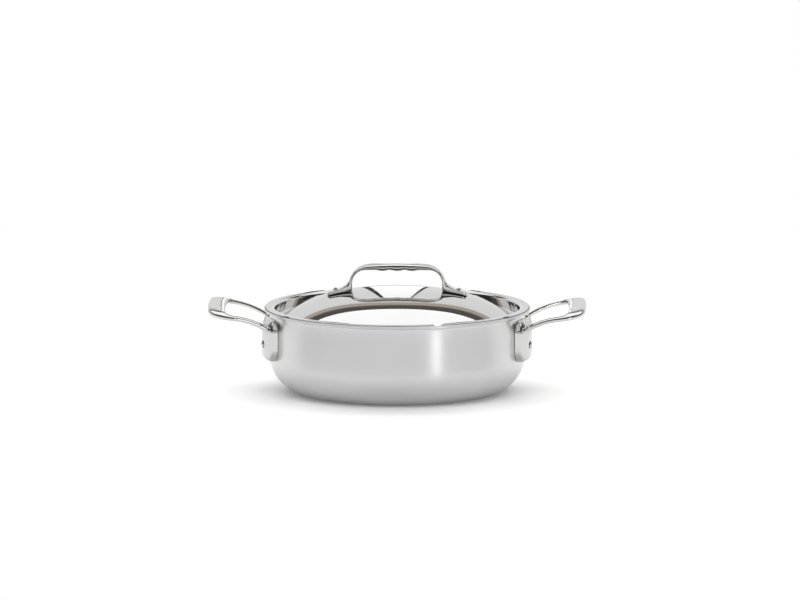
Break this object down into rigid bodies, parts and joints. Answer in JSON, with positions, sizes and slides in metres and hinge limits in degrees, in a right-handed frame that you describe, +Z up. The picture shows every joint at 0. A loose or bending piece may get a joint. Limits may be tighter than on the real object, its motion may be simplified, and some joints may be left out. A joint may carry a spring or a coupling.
{
  "type": "saute pan with lid",
  "caption": "Round straight-sided clad saute pan with cast loop handles on riveted lugs and a recessed dome lid with an arch handle.",
  "frame": {"origin": "centre of the base, on the surface the pan stands on", "axes": "+X through the right side handle, +Y away from the viewer, +Z up through the lid's handle"},
  "size_m": [0.356, 0.2496, 0.1213],
  "materials": {
    "satin_stainless": "satin",
    "aluminium_core": "rolled",
    "cooking_stainless": "brushed",
    "cast_stainless": "polished",
    "mirror_stainless": "mirror polished",
    "rivet_stainless": "polished"
  },
  "bodies": {
    "pan": {"pan_outer_ply": "satin_stainless", "pan_core_ply": "aluminium_core", "pan_inner_ply": "cooking_stainless", "handle_left": "cast_stainless", "handle_right": "cast_stainless", "rivet_left_front": "rivet_stainless", "rivet_left_rear": "rivet_stainless", "rivet_right_front": "rivet_stainless", "rivet_right_rear": "rivet_stainless"},
    "lid": {"lid_shell": "mirror_stainless", "lid_handle": "cast_stainless", "lid_rivet_left": "rivet_stainless", "lid_rivet_right": "rivet_stainless"}
  },
  "joints": [
    {"name": "lid_lift", "type": "slide", "parent": "pan", "child": "lid", "axis": [0, 0, 1], "range_m": [0, 0.12]}
  ]
}
